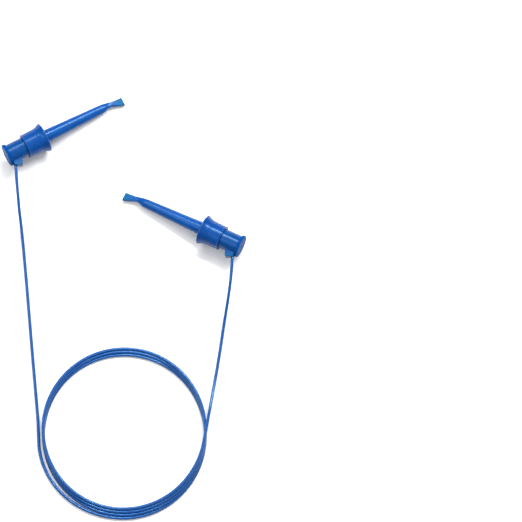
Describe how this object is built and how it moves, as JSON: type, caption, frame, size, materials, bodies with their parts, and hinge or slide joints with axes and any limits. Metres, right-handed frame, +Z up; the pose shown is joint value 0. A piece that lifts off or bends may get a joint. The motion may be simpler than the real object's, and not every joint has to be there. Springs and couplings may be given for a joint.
{
  "type": "spring-hook test lead",
  "caption": "Spring-hook test clips joined by a coiled silicone wire; pushing a clip's plunger against its finger flange slides the hook out of the tip.",
  "frame": {"origin": "on the surface the lead lies on, under the middle of the box round both clips", "axes": "+Z up; +X from clip a's side towards clip b's side; the coil lies towards -Y"},
  "size_m": [0.1071, 0.1851, 0.0142],
  "materials": {
    "barrel_plastic": "glossy, slightly translucent moulded nylon",
    "collar_plastic": "glossy opaque moulded plastic",
    "cap_plastic": "glossy, slightly translucent moulded nylon",
    "wire_insulation": "smooth, satin silicone",
    "hook_metal": "polished plated wire",
    "spring_steel": "bright drawn wire",
    "tinned_brass": "tinned, satin",
    "copper": "bare stranded copper"
  },
  "bodies": {
    "wire_and_plungers": {"plunger_cap_a": "cap_plastic", "end_plug_a": "cap_plastic", "hook_a": "hook_metal", "return_spring_a": "spring_steel", "spring_stop_a": "tinned_brass", "solder_sleeve_a": "tinned_brass", "conductor_a": "copper", "plunger_cap_b": "cap_plastic", "end_plug_b": "cap_plastic", "hook_b": "hook_metal", "return_spring_b": "spring_steel", "spring_stop_b": "tinned_brass", "solder_sleeve_b": "tinned_brass", "conductor_b": "copper", "wire_run_a": "wire_insulation", "wire_coil": "wire_insulation", "wire_run_b": "wire_insulation"},
    "grip_a": {"barrel_a": "barrel_plastic", "finger_collar_a": "collar_plastic"},
    "grip_b": {"barrel_b": "barrel_plastic", "finger_collar_b": "collar_plastic"}
  },
  "joints": [
    {"name": "squeeze_a", "type": "slide", "parent": "wire_and_plungers", "child": "grip_a", "axis": [-0.8724, -0.4678, 0.142], "range_m": [0, 0.0032], "stiffness_N_per_m": 150, "springref_m": -0.006, "deforming": ["return_spring_a"]},
    {"name": "squeeze_b", "type": "slide", "parent": "wire_and_plungers", "child": "grip_b", "axis": [0.892, -0.4293, 0.142], "range_m": [0, 0.0032], "stiffness_N_per_m": 150, "springref_m": -0.006, "deforming": ["return_spring_b"]}
  ]
}
